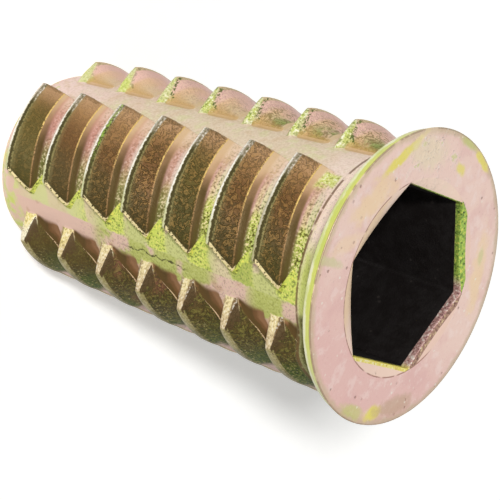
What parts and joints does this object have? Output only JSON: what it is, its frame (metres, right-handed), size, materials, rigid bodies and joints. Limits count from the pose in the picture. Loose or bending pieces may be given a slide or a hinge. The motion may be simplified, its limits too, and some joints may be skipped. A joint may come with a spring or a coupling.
{
  "type": "threaded insert",
  "caption": "Hollow hex-drive insert for wood: tapered body with a coarse interrupted outer thread, a flared flange with a hexagonal key socket, and a bolt-threaded bore right through.",
  "frame": {"origin": "centre of the flat end of the tip, on the bore's axis", "axes": "+Z along the bore from the tip to the flange and its hex socket; +X through a corner of the hexagon"},
  "size_m": [0.018, 0.018, 0.03],
  "materials": {
    "passivated_zinc": "die-cast zinc with a satin yellow chromate coating that shifts between pink, gold and green"
  },
  "bodies": {
    "root": {"insert": "passivated_zinc"}
  },
  "joints": []
}
